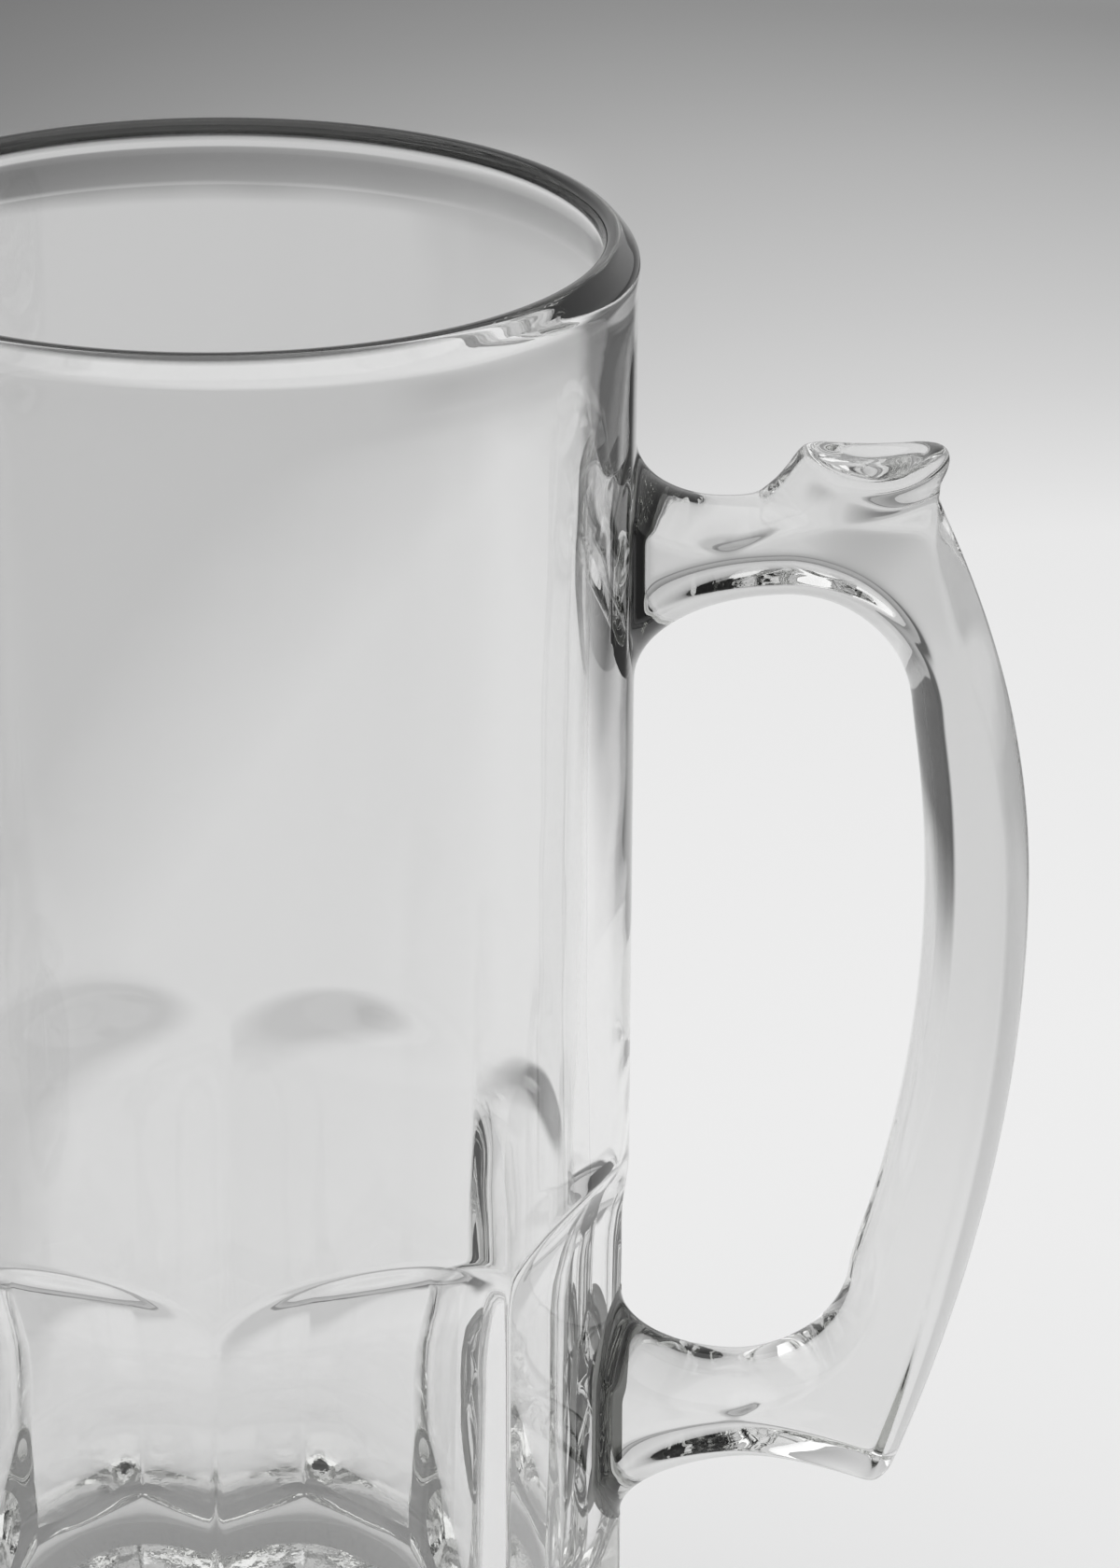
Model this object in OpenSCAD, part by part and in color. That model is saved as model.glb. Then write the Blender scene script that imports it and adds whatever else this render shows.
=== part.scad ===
// Clear glass beer mug: a straight round vessel with flutes round its lower half, a thick
// floor, and a solid glass handle with a thumb rest. Millimetres, +Z up. The origin is the
// middle of the resting ring, and the handle points along +X.

/* [Vessel] */
// Height from the table to the top of the rim
mug_h = 203; // [190:1:225]
// Outer radius at the rim's bead
mouth_r = 50; // [46:0.5:54]
// How far the rim's bead stands out of the wall below it
bead = 0.25; // [0:0.05:0.6]
// Radius that the outside loses from the rim down to the table
outer_draft = 1; // [0:0.1:2]
// Height over which the bead grows out of the wall
bead_h = 5; // [2:0.5:8]
// Thickness of the glass at the rim
rim_t = 4.1; // [3.6:0.1:5]
// Width of the bevel round the outside of the rim
bevel_w = 2.2; // [1.5:0.1:2.4]
// Height of the bevel round the outside of the rim
bevel_h = 2.8; // [2:0.1:4]
// Width and height of the small bevel round the inside of the rim
inner_bevel = 0.7; // [0.4:0.1:1]
// Radius that the inside loses from the rim down to the floor
bore_draft = 4.5; // [2:0.1:6]
// Thickness of the glass floor above the table
floor_t = 28; // [18:1:32]
// Radius of the rounded corner where the inner wall meets the floor
floor_round = 12; // [6:1:18]

/* [Foot] */
// Radius of the rounded lower outer edge
heel_round = 6; // [3:0.5:8]
// Inner radius of the flat ring that the mug rests on
ring_r = 36; // [28:1:40]
// Height of the shallow hollow inside the resting ring
push_up = 2.5; // [1:0.5:5]

/* [Flutes] */
// Number of flutes; a ridge between two of them lies under the handle
flute_count = 8; // [8:1:10]
// Height of the top of each flute's arch above the table
flute_h = 90; // [80:1:96]
// How far the ridges lie inside the round wall
ridge_inset = 0.6; // [0.4:0.1:1.2]
// Radius of the curve with which a flute runs out at its top
flute_sweep = 19.3; // [14:0.1:26]

/* [Handle] */
// Depth of the handle from front to back
handle_w = 15.4; // [12:0.2:18]
// From the rim down to the top of the upper arm
arm_drop = 32.9; // [28:0.1:38]
// Thickness of the upper arm at its thinnest place
arm_t = 11.7; // [9:0.1:14]
// Thickness of the lower arm at its thinnest place
low_arm_t = 13; // [10:0.1:16]
// Height of the gap for the fingers
gap_h = 97.4; // [88:0.2:104]
// From the wall to the highest place of the finger gap
gap_peak = 17.5; // [14:0.5:20]
// From the wall to the lowest place of the finger gap
gap_dip = 12.3; // [10:0.5:15]
// From the wall to the inner side of the grip
gap_reach = 34.5; // [31:0.5:38]
// Thickness of the grip, from its finger side to its outer side
grip_t = 12.9; // [10:0.1:15]
// From the top of the finger gap down to the grip's furthest place
grip_mid = 37; // [32:0.5:42]
// Radius of the grip's finger side
grip_in_r = 140; // [120:5:180]
// Radius of the grip's outer side above its furthest place
grip_top_r = 100; // [90:5:140]
// Radius of the grip's outer side below its furthest place
grip_low_r = 180; // [160:5:240]
// Drop of the lower arm's underside from its arch to the pointed corner
tip_drop = 2; // [1:0.2:4]
// Share of the handle's half thickness by which its faces are crowned towards the flat sides
crown_share = 0.6; // [0.3:0.05:0.8]

/* [Roots] */
// How much wider the handle is where it meets the wall, on each side
root_flare = 1.8; // [1:0.2:5]
// Fillet of the upper root above the arm, measured up the wall
top_fillet_h = 7.5; // [4:0.5:10]
// Fillet of the upper root above the arm, measured out along the arm
top_fillet_l = 10.2; // [6:0.2:12]
// Fillet of the upper root below the arm, measured down the wall
upper_fillet_h = 10.9; // [6:0.1:14]
// Fillet of the lower root above the arm, measured up the wall
lower_fillet_h = 9.2; // [6:0.1:12]
// Fillet of the lower root below the arm, measured down the wall
under_fillet_h = 9; // [5:0.5:12]
// From the wall to the highest place of the lower arm's underside
under_peak = 16.2; // [13:0.1:18]
// Height of the finger gap's round upper corner on the grip's side
top_corner_h = 15; // [12:0.5:18]
// Height of the finger gap's round lower corner on the grip's side
low_corner_h = 12; // [9:0.5:15]

/* [Thumb rest] */
// From the wall to the middle of the thumb rest
pad_reach = 27.7; // [25:0.1:29]
// Radius of the thumb rest's lip
pad_r = 8.6; // [7:0.1:9.5]
// Height of the thumb rest above the arm
pad_h = 5.7; // [4:0.1:8]
// Radius of the neck under the lip
neck_r = 7.8; // [6:0.1:8]
// How much wider the neck is where it meets the arm, on each side
neck_spread = 2.2; // [0:0.1:3]
// How far the neck's flat sides lie inside the handle's sides
neck_inset = 0.3; // [0.1:0.1:1]
// Radius of the lip's rounded edge
lip_r = 1.2; // [0.8:0.1:1.6]
// Radius of the hollow for the thumb
dish_r = 6.6; // [5:0.1:7]
// Depth of the hollow for the thumb
dish_d = 1.8; // [0.8:0.1:2.5]

/* [Hidden] */
$fn = 96;
glass = [0.86, 0.89, 0.88, 0.45];

// Length by which cutters pass the surfaces that they cut
overrun = 2;
// Depth to which the roots reach into the wall before they are cut to its surface
root_sink = 0.5;
root_depth = 3;

// Straight sides of the vessel, as radii
wall_r = mouth_r - bead;
foot_r = wall_r - outer_draft;
bore_top_r = mouth_r - rim_t;
bore_low_r = bore_top_r - bore_draft;
bead_z = mug_h - bevel_h - bead_h;
bore_h = mug_h - floor_t;
bore_slope = bore_draft / bore_h;
bore_lean = sqrt(1 + bore_slope * bore_slope);
bore_corner_x = bore_low_r + floor_round * (bore_slope - bore_lean);

// Flutes: the flat of each lies at flute_in from the axis and curves outwards above flute_z
half_turn = 180 / flute_count;
flute_in = (foot_r + outer_draft * flute_h / mug_h - ridge_inset) * cos(half_turn);
flute_depth = foot_r + outer_draft * flute_h / mug_h - flute_in;
flute_z = flute_h - sqrt(flute_depth * (2 * flute_sweep - flute_depth));
flute_w = 2 * mouth_r * tan(half_turn);

// Hollow under the floor, a shallow cap of a sphere
push_up_r = (ring_r * ring_r + push_up * push_up) / (2 * push_up);

// Heights and distances of the handle's outline, in the plane y = 0
arm_z = mug_h - arm_drop;
gap_top = arm_z - arm_t;
gap_low = gap_top - gap_h;
under_z = gap_low - low_arm_t;
tip_z = under_z - tip_drop;
mid_z = gap_top - grip_mid;
peak_x = wall_r + gap_peak;
dip_x = wall_r + gap_dip;
under_x = wall_r + under_peak;
in_x = wall_r + gap_reach;
out_x = in_x + grip_t;
lip_z = arm_z + pad_h - lip_r;
corner_top_z = gap_top - top_corner_h;
corner_low_z = gap_low + low_corner_h;

// Counts of rings along each stretch of the handle, and of points round its section
arm_rings = 9;
corner_rings = 14;
grip_rings = 16;
section_points = 24;
crown_points = section_points / 2;
// Times that the search for the outer outline halves its step
halvings = 24;

// Share of an ellipse's height at a share of its half length
function bow(share) = 1 - sqrt(max(0, 1 - share * share));
// The grip's two sides at a height
function grip_in(z) = in_x - (z - mid_z) * (z - mid_z) / (2 * grip_in_r);
function grip_out(z) = out_x - (z - mid_z) * (z - mid_z) / (2 * (z > mid_z ? grip_top_r : grip_low_r));
tip_x = grip_out(tip_z);
shoulder_x = grip_out(arm_z);

// Upper and lower outline of the two arms at a distance from the axis
function arm_top(x) = arm_z + top_fillet_h * bow(max(0, wall_r + top_fillet_l - x) / top_fillet_l);
function arm_under(x) = gap_top - upper_fillet_h * bow(max(0, peak_x - x) / gap_peak);
function low_top(x) = gap_low + lower_fillet_h * bow(max(0, dip_x - x) / gap_dip);
function low_under(x) = x < under_x
    ? under_z - under_fillet_h * bow((under_x - x) / under_peak)
    : under_z - tip_drop * pow((x - under_x) / (tip_x - under_x), 2);

// The outer outline met by a ray from a point, found by halving
function outside(p, upper) = upper
    ? p[1] > arm_z || p[0] > grip_out(p[1])
    : p[1] < low_under(p[0]) || p[0] > grip_out(p[1]);
function ray_hit(c, a, near, far, upper, left = halvings) = left == 0
    ? c + near * [cos(a), sin(a)]
    : outside(c + (near + far) / 2 * [cos(a), sin(a)], upper)
        ? ray_hit(c, a, near, (near + far) / 2, upper, left - 1)
        : ray_hit(c, a, (near + far) / 2, far, upper, left - 1);

// Each station is [finger side, outer side, half depth, hold on the wall's shape, is low]
function flare(out) = root_flare * bow(max(0, root_flare + root_sink - out) / (root_flare + root_sink));
function hold(out) = max(0, 1 - out / gap_dip);
function arm_station(out, low) =
    let (x = wall_r - root_sink + max(0, out))
    let (at = wall_r - root_sink + out)
    [low ? [at, low_top(x)] : [at, arm_under(x)],
     low ? [at, low_under(x)] : [at, arm_top(x)],
     handle_w / 2 + flare(max(0, out)), hold(out), low];

// Distances out from the wall, close together where the fillets are steep
root_steps = [for (i = [0 : arm_rings - 1]) 1 - cos(90 * i / arm_rings)];
upper_outs = concat([-root_depth], [for (s = root_steps) s * (gap_peak + root_sink)]);
lower_outs = concat([-root_depth], [for (s = root_steps) s * (gap_dip + root_sink)]);

top_centre = [peak_x, corner_top_z];
top_inner = [grip_in(corner_top_z) - peak_x, top_corner_h];
low_centre = [dip_x, corner_low_z];
low_inner = [grip_in(corner_low_z) - dip_x, low_corner_h];
shoulder_a = atan2(arm_z - corner_top_z, shoulder_x - peak_x);
tip_a = atan2(tip_z - corner_low_z, tip_x - dip_x);
far = 2 * gap_reach;

function corner_station(c, inner, a, upper) =
    [c + [inner[0] * cos(a), inner[1] * sin(a)], ray_hit(c, a, 0, far, upper), handle_w / 2, 0, false];

stations = concat(
    [for (out = upper_outs) arm_station(out, false)],
    [for (i = [0 : corner_rings])
        corner_station(top_centre, top_inner, 90 - (90 - shoulder_a) * i / corner_rings, true)],
    [for (i = [1 : corner_rings])
        corner_station(top_centre, top_inner, shoulder_a * (1 - i / corner_rings), true)],
    [for (i = [1 : grip_rings - 1])
        let (z = corner_top_z + (corner_low_z - corner_top_z) * i / grip_rings)
        [[grip_in(z), z], [grip_out(z), z], handle_w / 2, 0, false]],
    [for (i = [0 : corner_rings])
        corner_station(low_centre, low_inner, tip_a * i / corner_rings, false)],
    [for (i = [1 : corner_rings])
        corner_station(low_centre, low_inner, tip_a - (90 + tip_a) * i / corner_rings, false)],
    [for (i = [len(lower_outs) - 1 : -1 : 0]) arm_station(lower_outs[i], true)]
);

// How far the wall falls back at a place beside the handle's middle plane
function fall_back(y, low) = low ? abs(y) * tan(half_turn) : wall_r - sqrt(wall_r * wall_r - y * y);
// A point of a station's section: two crowned faces, joined by flat sides
function section_point(s, k) =
    let (face = k < crown_points ? 1 : -1)
    let (across = 2 * (k % crown_points) / (crown_points - 1) - 1)
    let (mid = (s[0] + s[1]) / 2)
    let (half = (s[1] - s[0]) / 2)
    let (p = mid + face * half * (1 - crown_share * across * across))
    let (y = face * across * s[2])
    [p[0] - s[3] * fall_back(y, s[4]), y, p[1]];
handle_points = [for (s = stations, k = [0 : section_points - 1]) section_point(s, k)];

// Faces of a tube of rings with a cap at each end
function tube_faces(rings, n) = concat(
    [for (i = [0 : rings - 2], k = [0 : n - 1])
        [i * n + k, (i + 1) * n + (k + 1) % n, (i + 1) * n + k]],
    [for (i = [0 : rings - 2], k = [0 : n - 1])
        [i * n + k, i * n + (k + 1) % n, (i + 1) * n + (k + 1) % n]],
    [for (k = [1 : n - 2]) [0, k + 1, k]],
    [for (k = [1 : n - 2]) [0, k, k + 1] + (rings - 1) * n * [1, 1, 1]]
);

module outer_round() {
    rotate_extrude() {
        difference() {
            polygon([
                [0, 0],
                [foot_r, 0],
                [wall_r, bead_z],
                [mouth_r, bead_z + bead_h],
                [mouth_r - bevel_w, mug_h],
                [0, mug_h]
            ]);
            translate([foot_r - heel_round, 0])
                difference() {
                    translate([0, -overrun]) square([heel_round + overrun, heel_round + overrun]);
                    translate([0, heel_round]) circle(heel_round);
                }
        }
    }
}

module flute_cutter() {
    translate([flute_in, -flute_w / 2, -overrun])
        cube([mouth_r, flute_w, flute_z + overrun]);
    translate([flute_in + flute_sweep, 0, flute_z])
        rotate([90, 0, 0]) cylinder(h = flute_w, r = flute_sweep, center = true);
}

module vessel_outside() {
    difference() {
        outer_round();
        for (i = [0 : flute_count - 1])
            rotate([0, 0, (2 * i + 1) * half_turn]) flute_cutter();
    }
}

module bore() {
    rotate_extrude() {
        polygon([
            [0, floor_t],
            [bore_corner_x, floor_t],
            [bore_corner_x + floor_round / bore_lean, floor_t + floor_round * (1 - bore_slope / bore_lean)],
            [bore_top_r, mug_h - inner_bevel],
            [bore_top_r + inner_bevel + overrun, mug_h + overrun],
            [0, mug_h + overrun]
        ]);
        intersection() {
            translate([bore_corner_x, floor_t + floor_round]) circle(floor_round);
            translate([0, floor_t]) square([mouth_r, 2 * floor_round]);
        }
    }
}

module vessel() {
    color(glass)
        difference() {
            vessel_outside();
            bore();
            translate([0, 0, push_up - push_up_r]) sphere(push_up_r);
        }
}

module neck() {
    foot_z = arm_z - arm_t / 2;
    slope = neck_spread / pad_h;
    intersection() {
        translate([0, 0, foot_z])
            cylinder(h = lip_z - foot_z, r1 = neck_r + slope * (lip_z - foot_z), r2 = neck_r);
        translate([-pad_r - neck_spread, neck_inset - handle_w / 2, foot_z])
            cube([2 * (pad_r + neck_spread), handle_w - 2 * neck_inset, lip_z - foot_z]);
    }
}

module thumb_rest() {
    dish_ball = (dish_r * dish_r + dish_d * dish_d) / (2 * dish_d);
    translate([wall_r + pad_reach, 0, 0])
        difference() {
            union() {
                neck();
                rotate_extrude() {
                    translate([0, lip_z - lip_r]) square([pad_r - lip_r, 2 * lip_r]);
                    translate([pad_r - lip_r, lip_z]) circle(lip_r);
                }
            }
            translate([0, 0, arm_z + pad_h - dish_d + dish_ball]) sphere(dish_ball);
        }
}

module handle() {
    color(glass)
        difference() {
            union() {
                polyhedron(points = handle_points, faces = tube_faces(len(stations), section_points), convexity = 6);
                thumb_rest();
            }
            vessel_outside();
        }
}

vessel();
handle();
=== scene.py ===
from math import atan2, cos, hypot, pi, radians, sin, sqrt

import bpy
import bmesh
from mathutils import Matrix, Vector
from mathutils.kdtree import KDTree


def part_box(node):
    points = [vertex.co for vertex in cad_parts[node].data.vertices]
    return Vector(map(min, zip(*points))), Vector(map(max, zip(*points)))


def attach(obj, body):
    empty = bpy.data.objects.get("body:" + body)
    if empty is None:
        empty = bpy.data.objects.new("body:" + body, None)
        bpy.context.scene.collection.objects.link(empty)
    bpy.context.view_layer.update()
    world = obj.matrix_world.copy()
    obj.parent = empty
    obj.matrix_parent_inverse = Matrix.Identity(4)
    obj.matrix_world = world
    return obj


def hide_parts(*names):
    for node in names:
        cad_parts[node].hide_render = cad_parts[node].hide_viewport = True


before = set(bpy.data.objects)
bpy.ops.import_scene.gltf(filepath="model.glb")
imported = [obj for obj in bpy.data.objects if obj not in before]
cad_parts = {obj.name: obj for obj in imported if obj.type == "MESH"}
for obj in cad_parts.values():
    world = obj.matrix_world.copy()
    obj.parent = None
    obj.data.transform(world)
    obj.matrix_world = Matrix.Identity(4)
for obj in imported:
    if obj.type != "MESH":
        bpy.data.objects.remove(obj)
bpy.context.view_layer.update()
scene = bpy.context.scene
bpy.ops.object.select_all(action="DESELECT")

# lengths in the dictionaries are millimetres, unless a note says metres, and mm turns them to metres
mm = 0.001


def linear(code):
    channels = [int(code[i:i + 2], 16) / 255 for i in (1, 3, 5)]
    return tuple(c / 12.92 if c <= 0.04045 else ((c + 0.055) / 1.055) ** 2.4 for c in channels) + (1.0,)


def addNode(tree, kind, inputs=None, **settings):
    node = tree.nodes.new("ShaderNode" + kind)
    for name, value in settings.items():
        setattr(node, name, value)
    for name, value in (inputs or {}).items():
        if isinstance(value, bpy.types.NodeSocket):
            tree.links.new(value, node.inputs[name])
        else:
            node.inputs[name].default_value = value
    return node


def mixed(a, b, share):
    return a + (b - a) * share


def smoothStep(share):
    share = min(max(share, 0.0), 1.0)
    return share * share * (3 - 2 * share)


def bow(share):
    return 1 - sqrt(max(0.0, 1 - share * share))


def spread(low, high, count):
    return [mixed(low, high, i / count) for i in range(count)]


def startPiece(name):
    piece = bpy.context.object
    piece.name = piece.data.name = name
    return piece


_, vesselHigh = [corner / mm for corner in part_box("vessel")]
vessel = {
    "height": vesselHigh.z,
    "mouthRadius": vesselHigh.y,
    "bead": 0.25,              # the rim stands out from the wall by this much
    "outerDraft": 1.0,
    "boreDraft": 4.5,
    "rimThickness": 4.1,
    "floorThickness": 28.0,
    "floorRound": 12.0,
    "heelRound": 6.0,
    "ringRadius": 36.0,        # the mug stands on a flat ring round a shallow hollow
    "pushUp": 2.5,
    # the rim, out from the wall and down from the top: nearly flat, with a long soft bevel outside
    "rimPoints": (
        (0.0, 9.0), (0.02, 8.0), (0.12, 6.2), (0.25, 4.4), (0.25, 3.3), (-0.12, 2.35), (-0.95, 1.3),
        (-1.75, 0.35), (-2.3, 0.0), (-3.0, 0.0), (-3.55, 0.12), (-3.95, 0.65), (-4.1, 1.6), (-4.12, 2.6),
        (-4.15, 4.0),
    ),
    "flutes": 8,
    "fluteTop": 90.0,
    "ridgeInset": 0.6,
    "sweepRadius": 19.3,       # a flute runs out to the wall on this arc
    "ridgeSoftness": 0.4,      # how far the fire polish rounds a ridge, and an arch
    "archSoftness": 0.7,
    "farArchSoftness": 2.4,    # the arches on the far side came out of the fire rounder
    # columns crowd towards the ridges by this power, and rows bend to follow the arches
    "halfFluteColumns": 16,
    "columnCrowding": 1.5,
    "archRowMiddle": 86.0,
    "archRows": (-5.0, -3.0, -1.8, -1.1, -0.7, -0.4, -0.2, 0.0, 0.2, 0.4, 0.7, 1.1, 1.8, 3.0, 5.0, 8.0),
    "bentFully": 5.0,
    "bendBelow": 36.0,
    "bendAbove": 34.0,
    "hollowRows": 10,
    "ringRows": 3,
    "heelRows": 10,
    "rowsBelowRoot": 9,
    "rowsBesideRoot": 16,
    "rowsBetweenRoots": 15,
    "rowsAboveRoot": 5,
    "rimPointRows": 4,
    "boreRows": 26,
    "cornerRows": 16,
    "floorRows": 8,
    "weldDistance": 0.02,
    "outerSkin": 3.0,          # what lies this near to the outside belongs to the outer face
    "lowRootSpan": (30.0, 78.0),
    "upperRootSpan": (139.0, 187.0),
}
wallTop = vessel["mouthRadius"] - vessel["bead"]
halfTurn = pi / vessel["flutes"]


def roundWall(z):
    return wallTop - vessel["outerDraft"] * (1 - z / vessel["height"])


fluteFlat = (roundWall(vessel["fluteTop"]) - vessel["ridgeInset"]) * cos(halfTurn)
fluteDepth = roundWall(vessel["fluteTop"]) - fluteFlat
fluteStart = vessel["fluteTop"] - sqrt(fluteDepth * (2 * vessel["sweepRadius"] - fluteDepth))


def fluteDistance(z):
    # from the axis to a flute's middle, which leaves the flat on the sweep's arc, almost to its end
    up = min(max(0.0, z - fluteStart), vessel["sweepRadius"] * 0.999)
    return fluteFlat + vessel["sweepRadius"] - sqrt(vessel["sweepRadius"] ** 2 - up * up)


def softMin(a, b, width):
    near = max(width - abs(a - b), 0.0) / width
    return min(a, b) - near * near * width / 4


def fromFluteMiddle(angle):
    return abs((angle % (2 * halfTurn)) - halfTurn)


def pressed(radius, angle, z):
    # the radius after the flutes are pressed into it
    off = fromFluteMiddle(angle)
    distance = fluteDistance(z)
    ridge = softMin(distance / cos(off), distance / cos(2 * halfTurn - off), vessel["ridgeSoftness"])
    softness = mixed(vessel["archSoftness"], vessel["farArchSoftness"], smoothStep(0.5 + sin(angle)))
    return softMin(radius, ridge, softness)


def wallRadius(angle, z):
    return pressed(roundWall(z), angle, z)


def wallX(y, z):
    # the wall's place under the handle, which settles in a few rounds
    x = wallTop
    for _ in range(8):
        x = sqrt(wallRadius(atan2(y, x), z) ** 2 - y * y)
    return x


def archHeight(angle):
    # where the arc of the flute meets the wall, found in a few rounds as well
    z = vessel["fluteTop"]
    for _ in range(6):
        rise = max(roundWall(z) * cos(fromFluteMiddle(angle)) - fluteFlat, 0.0)
        z = fluteStart + sqrt(max(rise * (2 * vessel["sweepRadius"] - rise), 0.0))
    return z


_, handleHigh = [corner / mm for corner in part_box("handle")]
handle = {
    "reach": handleHigh.x,
    "depth": 15.4,
    "armTop": 170.1,
    "armThickness": 11.7,
    "lowArmThickness": 13.0,
    "gapHeight": 97.4,
    "gapPeak": 17.5,           # from the wall to the top of the finger gap, and to its lowest point
    "gapDip": 12.3,
    "underPeak": 16.2,         # and to the top of the arch under the lower arm
    "gripThickness": 12.9,
    "gripMid": 37.0,
    "innerRadius": 140.0,
    "topRadius": 100.0,
    "lowRadius": 180.0,
    "topCorner": 15.0,
    "lowCorner": 12.0,
    "tipDrop": 2.0,
    "tipShift": (-2.4, 0.35),
    # the faces are crowned: their edges lie this much lower than their middles
    "armTopCrown": 4.0,
    "armUnderCrown": 3.2,
    "gripInnerCrown": 3.4,
    "gripOuterCrown": 3.8,
    "lowArmTopCrown": 5.0,
    "lowArmUnderCrown": 3.1,
    "padCrown": 0.9,           # flatter under the thumb rest, and part of the way there before it
    "padCrownStart": (0.4, 0.8),
    "crownShares": (0.0, 0.36, 0.68),
    "edgeIn": 1.4,             # the rounded edges of the section take this much, and at most this share
    "edgeShareMost": 0.3,
    # roots: rings stand at these steps from the wall, and the nearest ones follow its round
    "rootSteps": (0.0, 0.12, 0.5, 1.1, 2.0, 3.2, 5.0, 7.5, 10.5),
    "rootFlare": 1.8,
    "topFilletHeight": 7.5,
    "topFilletLength": 10.2,
    "upperFilletHeight": 10.9,
    "lowerFilletHeight": 9.2,
    "underFilletHeight": 9.0,
    "crownGrowthShare": 0.4,
    "holdLength": 12.0,
    "blendLength": 4.0,
    "rootZone": 40.0,
    "rootOverlap": 0.02,       # the handle's joint face lies this far inside the vessel's
    "bridgeRings": 10,
    "bridgeCrowding": 1.5,
    # rings along the shoulder, the grip, the lower corner and on from its tip
    "shoulderRings": 7,
    "gripRings": 13,
    "cornerShares": (0.0, 0.16, 0.32, 0.48, 0.64, 0.78, 0.89, 0.95, 1.0),
    "tipShares": (0.08, 0.18, 0.34, 0.5, 0.67, 0.84, 1.0),
    "restSwell": 0.5,          # the section widens upwards under the thumb rest
    "swellRings": 4,
    # thumb rest: centre along X, half length, half depth, height and side drop of each loop from the foot up
    "padLoops": (
        {"middle": 74.9, "long": 10.7, "deep": 8.1, "height": 170.6, "drop": 1.2},
        {"middle": 75.9, "long": 9.8, "deep": 8.2, "height": 172.2, "drop": 1.1},
        {"middle": 77.0, "long": 9.6, "deep": 8.4, "height": 173.9, "drop": 1.3},
        {"middle": 77.6, "long": 9.2, "deep": 8.6, "height": 175.4, "drop": 1.8},
    ),
    # and of each loop of the dish on top, from the lip in
    "padDish": (
        {"middle": 77.7, "long": 8.4, "deep": 7.7, "height": 176.4, "drop": 1.9},
        {"middle": 77.3, "long": 7.0, "deep": 6.1, "height": 176.2, "drop": 1.8},
        {"middle": 77.2, "long": 6.2, "deep": 5.3, "height": 175.0, "drop": 1.6},
        {"middle": 77.2, "long": 3.2, "deep": 2.8, "height": 174.1, "drop": 0.8},
        {"middle": 77.2, "long": 0.0, "deep": 0.0, "height": 174.0, "drop": 0.0},
    ),
    "smoothLevels": 2,
}
# outline of the handle in the plane y = 0
gapTop = handle["armTop"] - handle["armThickness"]
gapLow = gapTop - handle["gapHeight"]
underZ = gapLow - handle["lowArmThickness"]
tipZ = underZ - handle["tipDrop"]
midZ = gapTop - handle["gripMid"]
peakX = wallTop + handle["gapPeak"]
dipX = wallTop + handle["gapDip"]
underX = wallTop + handle["underPeak"]
innerX = handle["reach"] - handle["gripThickness"]
cornerTopZ = gapTop - handle["topCorner"]
cornerLowZ = gapLow + handle["lowCorner"]
lowWall = wallX(0.0, gapLow)


def gripInner(z):
    return innerX - (z - midZ) ** 2 / (2 * handle["innerRadius"])


def gripOuter(z):
    return handle["reach"] - (z - midZ) ** 2 / (2 * handle["topRadius" if z > midZ else "lowRadius"])


tipX = gripOuter(tipZ)


def lowUnder(x):
    if x < underX:
        return underZ - handle["underFilletHeight"] * bow((underX - x) / (underX - lowWall))
    return underZ - handle["tipDrop"] * ((x - underX) / (tipX - underX)) ** 2


def outlineHit(centre, angle):
    # where a ray from a corner's centre meets the outer outline, found by halving
    near, far = 0.0, handle["reach"]
    for _ in range(30):
        middle = (near + far) / 2
        x, z = centre[0] + middle * cos(angle), centre[1] + middle * sin(angle)
        beyond = x > gripOuter(z) or z > handle["armTop"] or (angle < 0 and z < lowUnder(x))
        near, far = (near, middle) if beyond else (middle, far)
    return centre[0] + near * cos(angle), centre[1] + near * sin(angle)


def rootRing(out, low):
    grown = handle["crownGrowthShare"]
    if low:
        top = gapLow + handle["lowerFilletHeight"] * bow(max(0.0, 1 - out / (dipX - lowWall)))
        under = lowUnder(lowWall + out)
        innerSag = handle["lowArmTopCrown"] + grown * (top - gapLow)
        outerSag = handle["lowArmUnderCrown"] + grown * (underZ - under)
        start, inner, outer, turn = lowWall, top, under, 1
    else:
        near = max(0.0, 1 - out / handle["topFilletLength"])
        top = handle["armTop"] + handle["topFilletHeight"] * bow(near)
        under = gapTop - handle["upperFilletHeight"] * bow(max(0.0, 1 - out / handle["gapPeak"]))
        innerSag = handle["armUnderCrown"] + grown * (gapTop - under)
        outerSag = handle["armTopCrown"] + grown * (top - handle["armTop"])
        start, inner, outer, turn = wallTop, under, top, -1
    half = handle["depth"] / 2 + handle["rootFlare"] * bow(max(0.0, 1 - out / handle["rootFlare"]))
    hold = max(0.0, 1 - out / handle["holdLength"]) ** 2
    return {"inner": (start + out, inner), "outer": (start + out, outer), "half": half,
            "innerShift": (0.0, -turn * innerSag), "outerShift": (0.0, turn * outerSag),
            "hold": hold, "start": start}


def plainRing(inner, outer, innerSag, outerSag, outerShift=None):
    long = hypot(outer[0] - inner[0], outer[1] - inner[1])
    along = (outer[0] - inner[0]) / long, (outer[1] - inner[1]) / long
    return {"inner": inner, "outer": outer, "half": handle["depth"] / 2, "hold": 0.0, "start": 0.0,
            "innerShift": (innerSag * along[0], innerSag * along[1]),
            "outerShift": outerShift or (-outerSag * along[0], -outerSag * along[1])}


def cornerRing(centre, size, angle, innerSag, outerSag, outerShift=None):
    inner = centre[0] + size[0] * cos(angle), centre[1] + size[1] * sin(angle)
    return plainRing(inner, outlineHit(centre, angle), innerSag, outerSag, outerShift)


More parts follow.
